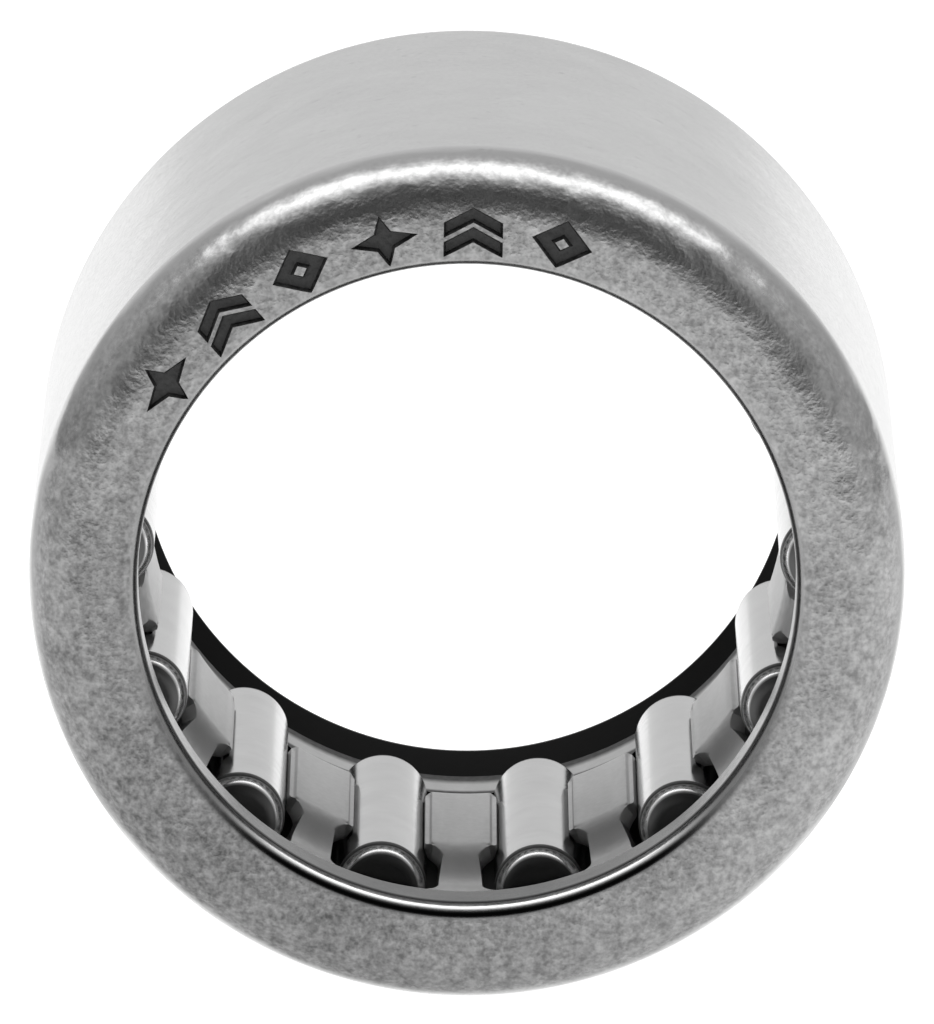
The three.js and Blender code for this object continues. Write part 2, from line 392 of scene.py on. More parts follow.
# Distances inwards from the cylinder, and from the rear end plane.
CYLINDER_SKIN = 0.07, 0.01
BEND_FROM_CYLINDER = 1.30, 0.80
INSIDE_FROM_CYLINDER = 0.40, 0.44
INSIDE_FROM_REAR = 0.10, 0.13
INSIDE_FADE = 0.04

# Heights above the axis.
BOTTOM_Z = -3.4, -4.7
TOP_Z = 1.5, 4.0
print("oil line:", LINE_FROM_BORE[1], "to", LINE_END_FROM_BORE[1], "mm outside the bore")

# %% Brightness and height of the shell
# A pair goes from a noise's low places to its high ones, or from one side to the other.
GRAIN_RANGE = 0.35, 0.65  # where most of the grain's own values lie
TUMBLED = 0.18, 0.35
TUMBLED_ROUGHNESS = 0.44, 0.30
CLOUDS = -0.03, 0.03
# Painted light and shade on the tumbled face: darker to the left, lighter to the right and towards
# the top.
SHADE_LEFT_TO_RIGHT = -0.035, 0.030
SIDE_SHADE_AT_BOTTOM = 3.0  # times as much from left to right as at the axis
SHADE_BOTTOM_TO_TOP = -0.035, 0.035
TOP_SHARE = 0.3  # of the radius, where that slope ends
# Painted highlight: the tumbled colour is made lighter on the top of the corners.
TOP_HIGHLIGHT_ADDED = 0.14
# Painted dark reflection: a dark line round the bottom of the lip, just outside the bore's
# rounding.
SHADE_LINE_GREY, SHADE_LINE_ROUGHNESS = 0.03, 0.16
SATIN = 0.42, 0.46
SATIN_ROUGHNESS = 0.18, 0.24
SPECK_RANGE = 0.70, 0.76
SPECK_DARKER = 0.05
# The roundings of the lips. The values at the top and at the bottom are painted highlights.
EDGE, EDGE_HIGHLIGHT_AT_TOP, EDGE_HIGHLIGHT_AT_BOTTOM = 0.27, 0.42, 0.70  # roundings of the lips
# Painted shade: the lip's bore and the inside of the shell are nearly black.
BORE_SHADE = 0.03
INSIDE_SHADE, INSIDE_ROUGHNESS = 0.02, 0.50
SLOW_WAVES, SLOW_SHARE, QUICK_WAVES = 450, 1.5, 1500
WAVE_HEIGHT = 0.055 * MM
FLAT_WAVES = 0.10  # share of the waves that stays where nothing is bent
REAR_BEND = 0.4  # share that the rear corner keeps
DIMPLE_HEIGHT = 0.022 * MM
FLAT_DIMPLES, CORNER_DIMPLES = 0.02, 0.16
print("shell: tumbled", TUMBLED, "and satin", SATIN)

# %% Shell steel
def shell_steel():
    f = Finish("shell_steel")
    split = f.node("ShaderNodeSeparateXYZ")
    f.feed(split.inputs[0], f.place)
    x, y, z = split.outputs
    radius = f.math("SQRT", f.math("ADD", f.math("MULTIPLY", x, x), f.math("MULTIPLY", z, z)))
    from_end = f.math("SUBTRACT", half_width, f.math("ABSOLUTE", y))
    from_rear = f.math("SUBTRACT", half_width, y)
    from_bore = f.math("SUBTRACT", radius, front_bore)
    from_cylinder = f.math("SUBTRACT", cup_radius, radius)

    def zone(distance, start, full):
        return f.span(distance, start * MM, full * MM, smooth=True)

    on_face = f.both(zone(from_end, *FACE_DEPTH), zone(from_bore, *FACE_FROM_BORE))
    rough_face = f.both(zone(from_end, *ROUGH_DEPTH), zone(from_bore, *FACE_FROM_BORE))
    dimpled = f.both(zone(from_end, *DIMPLE_DEPTH), zone(from_bore, *DIMPLES_FROM_BORE))
    on_cylinder = zone(from_cylinder, *CYLINDER_SKIN)
    on_bore = zone(from_bore, *BORE_WALL)
    lip_back = front_lip - half_width
    behind_front = f.span(y, lip_back - INSIDE_FADE * MM, lip_back)
    between_lips = f.both(behind_front, zone(from_rear, *INSIDE_FROM_REAR))
    inside = f.both(zone(from_cylinder, *INSIDE_FROM_CYLINDER), between_lips)
    bottom = zone(z, *BOTTOM_Z)
    top = zone(z, *TOP_Z)
    # Painted dark reflection: a line at the bottom, just outside the bore's rounding.
    line = f.both(zone(from_bore, *LINE_FROM_BORE), zone(from_bore, *LINE_END_FROM_BORE))
    painted_shade = f.both(bottom, line)

    blotches = f.noise(5200, detail=2.0, roughness=0.55)
    fine = f.noise(13000, detail=2.0)
    grain = f.mix(0.5, blotches, fine)
    cloud = f.noise(800, detail=2.0)
    specks = f.span(f.noise(4200, detail=1.0), *SPECK_RANGE)

    # Painted light and shade: the face gets lighter to the right, most at the bottom, and lighter
    # towards the top.
    across = f.span(x, -cup_radius, cup_radius, *SHADE_LEFT_TO_RIGHT)
    side_shade = f.math("MULTIPLY", across, f.span(z, -cup_radius, 0, SIDE_SHADE_AT_BOTTOM, 1.0))
    # Painted highlight on the top of the corners.
    top_highlight = f.math("MULTIPLY", f.both(top, zone(from_end, *TOP_HIGHLIGHT_DEPTH)), TOP_HIGHLIGHT_ADDED)
    tumbled = f.math("ADD", f.vary(grain, *TUMBLED, GRAIN_RANGE), f.vary(cloud, *CLOUDS))
    tumbled = f.math("ADD", tumbled, side_shade)
    tumbled = f.math("ADD", tumbled, f.span(z, -cup_radius, TOP_SHARE * cup_radius, *SHADE_BOTTOM_TO_TOP))
    tumbled = f.mix(painted_shade, f.math("ADD", tumbled, top_highlight), SHADE_LINE_GREY)
    satin = f.math("SUBTRACT", f.vary(cloud, *SATIN), f.math("MULTIPLY", specks, SPECK_DARKER))
    # Painted highlights: the lips' roundings are lighter at the top and much lighter at the bottom.
    edge = f.mix(bottom, f.mix(top, EDGE, EDGE_HIGHLIGHT_AT_TOP), EDGE_HIGHLIGHT_AT_BOTTOM)
    # Painted shade: the lip's bore and, below, the inside of the shell are nearly black.
    smooth_steel = f.mix(on_bore, f.mix(on_cylinder, edge, satin), BORE_SHADE)
    outside = f.mix(on_face, smooth_steel, tumbled)
    f.feed(f.shader.inputs["Base Color"], f.grey(f.mix(inside, outside, INSIDE_SHADE)))

    face_rough = f.mix(painted_shade, f.vary(grain, *TUMBLED_ROUGHNESS, GRAIN_RANGE), SHADE_LINE_ROUGHNESS)
    rough = f.mix(rough_face, f.vary(fine, *SATIN_ROUGHNESS), face_rough)
    f.feed(f.shader.inputs["Roughness"], f.mix(inside, rough, INSIDE_ROUGHNESS))

    bend = f.both(zone(from_end, *BEND_DEPTH), zone(from_cylinder, *BEND_FROM_CYLINDER))
    bend = f.math("MULTIPLY", bend, f.span(y, -1 * MM, 1 * MM, 1.0, REAR_BEND))
    slow = f.math("MULTIPLY", f.noise(SLOW_WAVES, detail=1.0), SLOW_SHARE)
    swell = f.math("ADD", slow, f.noise(QUICK_WAVES, detail=1.5))
    swell = f.math("SUBTRACT", swell, (SLOW_SHARE + 1) / 2)
    waves = f.bump(f.math("MULTIPLY", swell, f.mix(bend, FLAT_WAVES, 1.0)), WAVE_HEIGHT)
    dimple_share = f.mix(dimpled, f.mix(bend, FLAT_DIMPLES, CORNER_DIMPLES), 1.0)
    dimples = f.math("MULTIPLY", f.math("SUBTRACT", grain, 0.5), dimple_share)
    f.feed(f.shader.inputs["Normal"], f.bump(dimples, DIMPLE_HEIGHT, under=waves))
    return f.material


def mark_steel():
    f = Finish("punched_mark_steel")
    grain = f.noise(12000, detail=3.0)
    f.feed(f.shader.inputs["Base Color"], f.grey(f.vary(grain, 0.05, 0.11)))
    f.feed(f.shader.inputs["Roughness"], f.vary(grain, 0.55, 0.75))
    f.feed(f.shader.inputs["Normal"], f.bump(grain, 0.01 * MM))
    return f.material


SHELL = shell_steel()
MARK = mark_steel()
print("materials:", SHELL.name, MARK.name)

# %% [markdown]
# ### Cage and needles
# The cage is pressed from strip, so its faint lines run along the strip. Its colour also holds
# painted light and shade: it gets a little darker towards the marked lip, brighter where the bars
# climb to the front ring, and black at the foot of the rear ring and on that ring's rim, which is
# painted shade. The walls of the pockets are sheared, not pressed, and their dull, dark finish is
# painted shade.
#
# The needles are ground round and then lapped, which leaves very fine rings and a near mirror.
# Where a needle's edge rounding begins there is a thin painted dark band, which stands in for a
# dark reflection, then the rounding carries a painted highlight, and the end face is plain and
# painted dark, a painted dark reflection.

# %% Zones of the cage and the needles
# Each pair says at what distance in mm a zone starts, and where it is in full.
CLIMB_FROM_PLATE = 0.70, 0.20
FOOT_FROM_POCKET_END = 0.14, 0.02
FOOT_FROM_PLATE = 0.50, 0.90
RIM_FROM_END = 0.50, 0.25
DARK_BAND_START = 0.00, 0.02
DARK_BAND_END = 0.16, 0.12
SHINE_START = 0.11, 0.14
END_FACE_START = 0.23, 0.26

# %% Brightness of the cage and the needles
CAGE_LINES = 0.44, 0.50
# Painted light and shade: darker towards the marked lip, brighter on the climb to the front ring,
# nearly black at the rear ring's foot and rim.
CAGE_SHADE_FRONT_TO_REAR = 0.80, 1.04
CAGE_CLIMB_LIGHT = 1.3
CAGE_SHADE = 0.01
# Painted shade: the pocket walls are nearly black.
POCKET_WALL_SHADE = 0.015, 0.035
LAPPED = 0.41, 0.45
# A painted dark band and a painted highlight on the edge rounding, and a painted dark end face.
PAINTED_DARK_BAND, PAINTED_EDGE_SHINE, END_FACE_SHADE = 0.03, 0.95, 0.12
DARK_BAND_ROUGHNESS, END_ROUGHNESS = 0.40, 0.45
print("cage:", CAGE_LINES, "needles:", LAPPED)

# %% Cage and needle steel
def cage_steel():
    f = Finish("pressed_cage_steel")
    lines = f.noise(1400, detail=2.0, stretch=(1, 0.2, 1))
    grain = f.noise(11000, detail=2.0)
    split = f.node("ShaderNodeSeparateXYZ")
    f.feed(split.inputs[0], f.place)
    y = split.outputs["Y"]

    def zone(edge, start, full, low=0.0, high=1.0):
        return f.span(y, edge + start * MM, edge + full * MM, low, high)

    # Painted shade and light along the cage: darker towards the front, brighter where the bars
    # climb to the front ring.
    painted_gradient = f.span(y, -plate_half_length, plate_half_length, *CAGE_SHADE_FRONT_TO_REAR)
    climb_start, climb_full = CLIMB_FROM_PLATE
    climb = zone(-plate_half_length, -climb_start, -climb_full, CAGE_CLIMB_LIGHT, 1.0)
    painted_gradient = f.math("MULTIPLY", painted_gradient, climb)
    # Painted shade: nearly black at the foot of the rear ring and on its rim.
    foot = zone(pocket_half_length, *FOOT_FROM_POCKET_END)
    foot = f.both(foot, zone(plate_half_length, *FOOT_FROM_PLATE))
    rim_start, rim_full = RIM_FROM_END
    shade_mask = f.math("MAXIMUM", foot, zone(cage_half_length, -rim_start, -rim_full))
    bare = f.math("MULTIPLY", f.vary(lines, *CAGE_LINES), painted_gradient)
    f.feed(f.shader.inputs["Base Color"], f.grey(f.mix(shade_mask, bare, CAGE_SHADE)))
    f.feed(f.shader.inputs["Roughness"], f.vary(grain, 0.40, 0.48))
    under = f.bump(lines, 0.006 * MM)
    f.feed(f.shader.inputs["Normal"], f.bump(grain, 0.001 * MM, under=under))
    return f.material


def shaded_wall_steel():
    f = Finish("shaded_pocket_wall_steel")
    grain = f.noise(9000, detail=2.0)
    # Painted shade: nearly black, dull walls.
    f.feed(f.shader.inputs["Base Color"], f.grey(f.vary(grain, *POCKET_WALL_SHADE)))
    f.feed(f.shader.inputs["Metallic"], 0.0)
    f.feed(f.shader.inputs["Specular IOR Level"], 0.15)
    f.feed(f.shader.inputs["Roughness"], f.vary(grain, 0.50, 0.65))
    return f.material


def needle_steel():
    f = Finish("lapped_needle_steel")
    split = f.node("ShaderNodeSeparateXYZ")
    f.feed(split.inputs[0], f.place)
    along = f.math("ABSOLUTE", split.outputs["Y"])
    edge_start = needle_half_length - needle_edge

    def zone(start, full):
        return f.span(along, edge_start + start * MM, edge_start + full * MM)

    # Painted dark band, painted highlight and painted dark end face, which stand in for
    # reflections.
    dark_band = f.both(zone(*DARK_BAND_START), zone(*DARK_BAND_END))
    end_face = zone(*END_FACE_START)
    rings = f.noise(7000, detail=2.0, stretch=(0.15, 1, 0.15))
    lapped = f.vary(f.noise(1500, detail=2.0), *LAPPED)
    bright = f.mix(zone(*SHINE_START), lapped, PAINTED_EDGE_SHINE)
    steel = f.mix(end_face, f.mix(dark_band, bright, PAINTED_DARK_BAND), END_FACE_SHADE)
    f.feed(f.shader.inputs["Base Color"], f.grey(steel))
    f.feed(f.shader.inputs["Metallic"], f.math("SUBTRACT", 1.0, dark_band))
    rough = f.mix(dark_band, f.vary(rings, 0.15, 0.20), DARK_BAND_ROUGHNESS)
    f.feed(f.shader.inputs["Roughness"], f.mix(end_face, rough, END_ROUGHNESS))
    f.feed(f.shader.inputs["Normal"], f.bump(rings, 0.0008 * MM))
    return f.material


CAGE = cage_steel()
SHADED_WALL = shaded_wall_steel()
NEEDLE = needle_steel()
print("materials:", CAGE.name, NEEDLE.name)

# %% [markdown]
# ## Rounded sections
# Every turned or drawn piece starts as a section: an outline in radius and height. A corner with
# a rounding becomes a true arc. On each side of the arc goes one support point, very near it.
# Smooth shading blends normals between neighbouring points, and the support points keep that
# blend inside the arc, so that the flat next to it stays flat.

# %% Section helper
SUPPORT = 0.012 * MM


def rounded_section(corners):
    """Points of a closed section from its corners: (radius, height, rounding, arc steps)."""
    points = []
    count = len(corners)
    for index, (radius, height, rounding, steps) in enumerate(corners):
        corner = Vector((radius, height))
        before = Vector(corners[index - 1][:2])
        after = Vector(corners[(index + 1) % count][:2])
        if not rounding:
            points.append(corner)
            continue
        back = (before - corner).normalized()
        onward = (after - corner).normalized()
        opening = back.angle(onward)
        reach = rounding / math.tan(opening / 2)
        centre = corner + (back + onward).normalized() * rounding / math.sin(opening / 2)
        start = corner + back * reach - centre
        sweep = math.pi - opening
        turn = 1 if back.cross(onward) < 0 else -1
        points.append(corner + back * (reach + SUPPORT))
        for step in range(steps + 1):
            angle = turn * sweep * step / steps
            points.append(centre + Matrix.Rotation(angle, 2) @ start)
        points.append(corner + onward * (reach + SUPPORT))
    return points


print("section helper ready")

# %% [markdown]
# ## A tree that turns a section into a ring
# The shell and the needles are bodies of revolution, so one rule makes them all: wrap a flat
# grid round the axis. Each row of the grid takes its radius and height from one point of the
# section, and each column takes its angle from its number. The number of steps and the place
# of the axis are named inputs, so one tree serves the shell and every needle. Spin in a mesh
# editor would give the same shape once; the tree gives it again for any section.

# %% Geometry Nodes helpers
def new_tree(name, inputs):
    """An empty Geometry Nodes tree with a Geometry socket each way and the named inputs."""
    tree = bpy.data.node_groups.new(name, "GeometryNodeTree")
    face = tree.interface
    face.new_socket("Geometry", in_out="INPUT", socket_type="NodeSocketGeometry")
    for label, kind in inputs.items():
        face.new_socket(label, in_out="INPUT", socket_type="NodeSocket" + kind)
    face.new_socket("Geometry", in_out="OUTPUT", socket_type="NodeSocketGeometry")
    return tree, tree.nodes.new("NodeGroupInput"), tree.nodes.new("NodeGroupOutput")


def run_tree(name, mesh, tree, values):
    """Runs a tree on a mesh and returns the plain mesh that comes out."""
    source = bpy.data.objects.new(name + "_source", mesh)
    scene.collection.objects.link(source)
    modifier = source.modifiers.new("rule", "NODES")
    modifier.node_group = tree
    for item in tree.interface.items_tree:
        if item.item_type == "SOCKET" and item.in_out == "INPUT" and item.name in values:
            modifier[item.identifier] = values[item.name]
    bpy.context.view_layer.update()
    evaluated = source.evaluated_get(bpy.context.evaluated_depsgraph_get())
    result = bpy.data.meshes.new_from_object(evaluated)
    result.name = name
    bpy.data.objects.remove(source)
    return result


def section_mesh(name, points, closed=True):
    """A loop of edges that stands in the XY plane: x is the radius and y the height."""
    mesh = bpy.data.meshes.new(name)
    last = len(points) if closed else len(points) - 1
    edges = [(i, (i + 1) % len(points)) for i in range(last)]
    mesh.from_pydata([(p.x, p.y, 0) for p in points], edges, [])
    return mesh


print("tree helpers ready")

# %% The ring tree
WELD = 0.0001 * MM


def ring_tree():
    inputs = {"Rows": "Int", "Points": "Int", "Steps": "Int", "Axis": "Vector"}
    inputs["Material"] = "Material"
    tree, group_in, group_out = new_tree("turned_ring", inputs)
    nodes, links = tree.nodes, tree.links

    def math_node(operation, first, second=None):
        made = nodes.new("ShaderNodeMath")
        made.operation = operation
        for socket, value in zip(made.inputs, (first, second)):
            if isinstance(value, bpy.types.NodeSocket):
                links.new(value, socket)
            elif value is not None:
                socket.default_value = value
        return made.outputs[0]

    grid = nodes.new("GeometryNodeMeshGrid")
    links.new(math_node("ADD", group_in.outputs["Steps"], 1), grid.inputs["Vertices X"])
    links.new(group_in.outputs["Rows"], grid.inputs["Vertices Y"])
    place = nodes.new("GeometryNodeInputPosition")
    split = nodes.new("ShaderNodeSeparateXYZ")
    links.new(place.outputs[0], split.inputs[0])

    steps = group_in.outputs["Steps"]
    last_row = math_node("SUBTRACT", group_in.outputs["Rows"], 1)
    share_up = math_node("ADD", split.outputs["Y"], 0.5)
    row = math_node("ROUND", math_node("MULTIPLY", share_up, last_row))
    row = math_node("FLOORED_MODULO", row, group_in.outputs["Points"])
    share_round = math_node("ADD", split.outputs["X"], 0.5)
    column = math_node("ROUND", math_node("MULTIPLY", share_round, steps))
    column = math_node("FLOORED_MODULO", column, steps)
    turn = math_node("DIVIDE", math_node("MULTIPLY", column, 2 * math.pi), steps)

    sample = nodes.new("GeometryNodeSampleIndex")
    sample.data_type = "FLOAT_VECTOR"
    section_place = nodes.new("GeometryNodeInputPosition")
    links.new(group_in.outputs["Geometry"], sample.inputs["Geometry"])
    links.new(section_place.outputs[0], sample.inputs["Value"])
    links.new(row, sample.inputs["Index"])
    section = nodes.new("ShaderNodeSeparateXYZ")
    links.new(sample.outputs["Value"], section.inputs[0])

    radius = section.outputs["X"]
    around = nodes.new("ShaderNodeCombineXYZ")
    links.new(math_node("MULTIPLY", radius, math_node("SINE", turn)), around.inputs["X"])
    links.new(section.outputs["Y"], around.inputs["Y"])
    down = math_node("MULTIPLY", radius, math_node("COSINE", turn))
    links.new(math_node("MULTIPLY", down, -1), around.inputs["Z"])
    shift = nodes.new("ShaderNodeVectorMath")
    links.new(around.outputs[0], shift.inputs[0])
    links.new(group_in.outputs["Axis"], shift.inputs[1])

    chain = [
        nodes.new("GeometryNodeSetPosition"),
        nodes.new("GeometryNodeMergeByDistance"),
        nodes.new("GeometryNodeRealizeInstances"),
        nodes.new("GeometryNodeSetMaterial"),
    ]
    links.new(shift.outputs[0], chain[0].inputs["Position"])
    chain[1].inputs["Distance"].default_value = WELD
    links.new(group_in.outputs["Material"], chain[3].inputs["Material"])
    flow = grid.outputs["Mesh"]
    for step in chain:
        links.new(flow, step.inputs["Geometry"])
        flow = step.outputs["Geometry"]
    links.new(flow, group_out.inputs["Geometry"])
    return tree


RING_TREE = ring_tree()


def turned(name, points, steps, axis, material, closed=True):
    """A plain mesh made by turning a section round an axis that runs along Y."""
    rows = len(points) + 1 if closed else len(points)
    values = {"Rows": rows, "Points": len(points), "Steps": steps, "Axis": axis}
    values["Material"] = material
    mesh = run_tree(name, section_mesh(name + "_section", points, closed), RING_TREE, values)
    face_out(mesh)
    return mesh


def face_out(mesh):
    """Turns every face outwards and shades the mesh smooth."""
    work = bmesh.new()
    work.from_mesh(mesh)
    bmesh.ops.recalc_face_normals(work, faces=work.faces)
    if work.calc_volume(signed=True) < 0:
        bmesh.ops.reverse_faces(work, faces=work.faces)
    for face in work.faces:
        face.smooth = True
    work.to_mesh(mesh)
    work.free()


def add_piece(name, mesh):
    piece = bpy.data.objects.new(name, mesh)
    scene.collection.objects.link(piece)
    return piece


print("ring tree ready, with", len(RING_TREE.nodes), "nodes")

# %% [markdown]
# ## The shell
# The cup is drawn from thin strip, so its wall is under half a millimetre, and its outer corner
# is wide and soft. The front lip is thick and carries the marks. The rear lip is curled over
# after the cage and needles are in, so it is thinner and its bore is a little larger.

# %% Shell
SHELL_STEPS = 240


def shell_section():
    inside_front = front_lip - half_width
    inside_rear = half_width - rear_lip
    return rounded_section([
        (front_bore, -half_width, front_edge, 8),
        (cup_radius, -half_width, front_corner, 16),
        (cup_radius, half_width, rear_corner, 14),
        (rear_bore, half_width, rear_edge, 6),
        (rear_bore, half_width - rear_rim_land, rear_rim_crease, 4),
        (rear_bore + rear_rim_slope, inside_rear, inner_edge, 4),
        (raceway_radius, inside_rear, inside_corner, 5),
        (raceway_radius, inside_front, inside_corner, 5),
        (front_bore, inside_front, inner_edge, 4),
    ])


shell_mesh = turned("shell", shell_section(), SHELL_STEPS, (0, 0, 0), SHELL)
shell_mesh.materials.append(MARK)
shell = add_piece("shell", shell_mesh)
print("shell:", len(shell_mesh.polygons), "faces")

# %% [markdown]
# ## Punched marks
# A press punches a row of marks into the front lip before the cup is hardened. These are plain
# shapes in a row: a diamond, a double chevron and a star, twice. Each cutter widens towards the
# surface, as a punch does so that it lets go, and that slope catches a thin line of light. A
# boolean cut is the simplest way to get a real recess that follows the lip wherever it is.

# %% Mark outlines
mark_count = 6
mark_pitch = math.radians(14)
mark_row_angle = math.radians(200)
mark_half_width = 0.43 * MM
mark_half_height = 0.35 * MM
mark_stroke = 0.16 * MM
mark_depth = 0.1 * MM
mark_row_offset = 0.07 * MM
punch_draft = 0.04 * MM
STAR_WAIST = 0.7  # share of the stroke

flat_middle = (front_bore + front_edge + cup_radius - front_corner) / 2
mark_row_radius = flat_middle + mark_row_offset


def diamond():
    wide, high = mark_half_width, mark_half_height
    inner = 1 - mark_stroke * math.hypot(1 / wide, 1 / high)
    outer = [(wide, 0), (0, high), (-wide, 0), (0, -high)]
    return [[outer, [(x * inner, y * inner) for x, y in outer]]]


def chevrons():
    wide, rise, thick = mark_half_width, mark_half_height * 2 / 3, mark_stroke
    feet = (-mark_half_height, -mark_half_height + 2 * mark_stroke)
    return [[[
        (-wide, foot), (0, foot + rise), (wide, foot),
        (wide, foot + thick), (0, foot + rise + thick), (-wide, foot + thick),
    ]] for foot in feet]


def star():
    waist = mark_stroke * STAR_WAIST * math.sqrt(2)
    points = []
    for quarter in range(4):
        reach = mark_half_width if quarter % 2 == 0 else mark_half_height
        tip, hollow = quarter * math.pi / 2, (quarter + 0.5) * math.pi / 2
        points.append((reach * math.cos(tip), reach * math.sin(tip)))
        points.append((waist * math.cos(hollow), waist * math.sin(hollow)))
    return [[points]]


def grown(outline, amount):
    """The outline with each side moved outwards by amount."""
    result = []
    for index, point in enumerate(outline):
        here = Vector(point)
        back = (here - Vector(outline[index - 1])).normalized()
        onward = (Vector(outline[(index + 1) % len(outline)]) - here).normalized()
        out = Vector((back.y, -back.x)) + Vector((onward.y, -onward.x))
        turn = 1 if signed_area(outline) > 0 else -1
        result.append(here + out * turn * amount * 2 / out.length_squared)
    return result


def signed_area(outline):
    pairs = zip(outline, outline[1:] + outline[:1])
    return sum(a[0] * b[1] - b[0] * a[1] for a, b in pairs) / 2


print("marks stand on a", round(mark_row_radius / MM, 2), "mm radius")

# %% Punch the marks
def add_punch(work, loops, angle):
    """A cutter with sloping walls. loops is an outline, or an outline and the island in it."""
    radial = Vector((math.sin(angle), 0, -math.cos(angle)))
    across = Vector((-math.cos(angle), 0, -math.sin(angle)))
    levels = [(-mark_depth, 2 * punch_draft), (0, punch_draft), (mark_depth, 0)]
    rings = []
    for depth, growth in levels:
        level = []
        for number, outline in enumerate(loops):
            points = grown(outline, growth if number == 0 else -growth)
            level.append([work.verts.new(
                across * p.x + radial * (mark_row_radius + p.y) + Vector((0, depth - half_width, 0))
            ) for p in points])
        rings.append(level)
    for upper, lower in zip(rings, rings[1:]):
        for top, bottom in zip(upper, lower):
            for i in range(len(top)):
                j = (i + 1) % len(top)
                work.faces.new((top[i], top[j], bottom[j], bottom[i]))
    for level in (rings[0], rings[-1]):
        if len(level) == 1:
            work.faces.new(level[0])
            continue
        outer, inner = level
        for i in range(len(outer)):
            j = (i + 1) % len(outer)
            work.faces.new((outer[i], outer[j], inner[j], inner[i]))


SHARP_ANGLE = math.radians(30)


def punch_marks(target):
    work = bmesh.new()
    kinds = (diamond, chevrons, star)
    for index in range(mark_count):
        angle = mark_row_angle + (index - (mark_count - 1) / 2) * mark_pitch
        for loops in kinds[index % len(kinds)]():
            add_punch(work, loops, angle)
    bmesh.ops.recalc_face_normals(work, faces=work.faces)
    for face in work.faces:
        face.material_index = 1
    mesh = bpy.data.meshes.new("punches")
    work.to_mesh(mesh)
    work.free()
    mesh.materials.append(SHELL)
    mesh.materials.append(MARK)
    punches = add_piece("punches", mesh)
    cut = target.modifiers.new("punch", "BOOLEAN")
    cut.operation = "DIFFERENCE"
    cut.solver = "EXACT"
    cut.material_mode = "TRANSFER"
    cut.object = punches
    bpy.context.view_layer.update()
    evaluated = target.evaluated_get(bpy.context.evaluated_depsgraph_get())
    mesh = bpy.data.meshes.new_from_object(evaluated)
    target.modifiers.clear()
    bpy.data.objects.remove(punches)
    target.data = mesh
    mesh.name = "shell"
    mesh.set_sharp_from_angle(angle=SHARP_ANGLE)


punch_marks(shell)
print("shell with marks:", len(shell.data.polygons), "faces")

# %% Hand the shell to the frame
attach(shell, "cup")
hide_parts("drawn_cup")
print("shell rides on the cup body")

# %% [markdown]
# ## The cage
# A cage is fourteen copies of one sector: a bar with half a ring's width at each end of it. The
# bar is cranked. Its middle plate lies near the shaft, where it keeps the needles from falling
# in, and its ends climb to the rings, which lie on the circle of the needles' axes. The pockets
# are parallel-sided and end in rounded ears, which leaves narrow necks beside the needles' ends.
#
# The sector is a sheet of quads that follows those rules, and then a Geometry Nodes tree sets
# fourteen of them round the axis and welds them. A Bevel then breaks the sheared edges, as
# tumbling does, and its hardened normals keep the flats flat.

# %% Cage sector
plate_mid_radius = plate_inner_radius + cage_sheet / 2
plate_outer_radius = plate_inner_radius + cage_sheet
ring_mid_radius = pitch_radius - ring_inset


def half_chord(height):
    """Half the needle's width at a height above the bearing's axis."""
    return math.sqrt(needle_radius ** 2 - (pitch_radius - height) ** 2)


def plate_height(radius):
    """The height, in a pocket's own frame, of the plate's long edge at a radius."""
    return math.sqrt(radius ** 2 - half_chord(plate_outer_radius) ** 2)


ledge_inner_height = plate_height(plate_inner_radius) + ledge_drop
ledge_outer_height = ledge_inner_height + ledge_thickness
pocket_half_width = half_chord(ledge_outer_height) + side_clearance
plate_gap_half_width = max(
    pocket_half_width + ledge_width,
    half_chord(plate_height(plate_outer_radius)) + side_clearance,
)
ear_half_width = plate_gap_half_width + ear_reach
ear_start = plate_half_length - ear_lead
ear_end = ear_start + ear_blend
corner_start = pocket_half_length - ear_corner


def ease(share):
    share = min(max(share, 0), 1)
    return share * share * (3 - 2 * share)


def sheet_radius(y):
    climb = ease((abs(y) - plate_half_length) / crank_length)
    return plate_mid_radius + (ring_mid_radius - plate_mid_radius) * climb


def pocket_width(y):
    if abs(y) > corner_start:
        rise = min(abs(y) - corner_start, ear_corner)
        return ear_half_width - ear_corner + math.sqrt(ear_corner ** 2 - rise ** 2)
    widening = ease((abs(y) - ear_start) / ear_blend)
    return pocket_half_width + (ear_half_width - pocket_half_width) * widening


PLATE_ROWS, BLEND_ROWS, CLIMB_ROWS, CORNER_ROWS = 6, 14, 12, 8


def stations():
    """Places along Y of the rows of half a bar, from its middle to the end of the pocket."""
    plate = [ear_start * i / PLATE_ROWS for i in range(PLATE_ROWS)]
    blend = [ear_start + ear_blend * i / BLEND_ROWS for i in range(BLEND_ROWS + 1)]
    climb_length = corner_start - ear_end
    climb = [ear_end + climb_length * i / CLIMB_ROWS for i in range(1, CLIMB_ROWS + 1)]
    turns = [math.pi / 2 * i / CORNER_ROWS for i in range(1, CORNER_ROWS + 1)]
    return plate + blend + climb + [corner_start + ear_corner * math.sin(t) for t in turns]


print("pocket:", round(2 * pocket_half_width / MM, 3), "mm wide between the ledges")

# %% [markdown]
# Each long edge of a plate steps down to a thin ledge, which holds the needle. The step is a soft
# S, pressed rather than cut, so a few columns of vertices follow it from the ledge's edge up to
# the plate. Where the pocket swells into an ear, the ledge runs out and the step fades away.

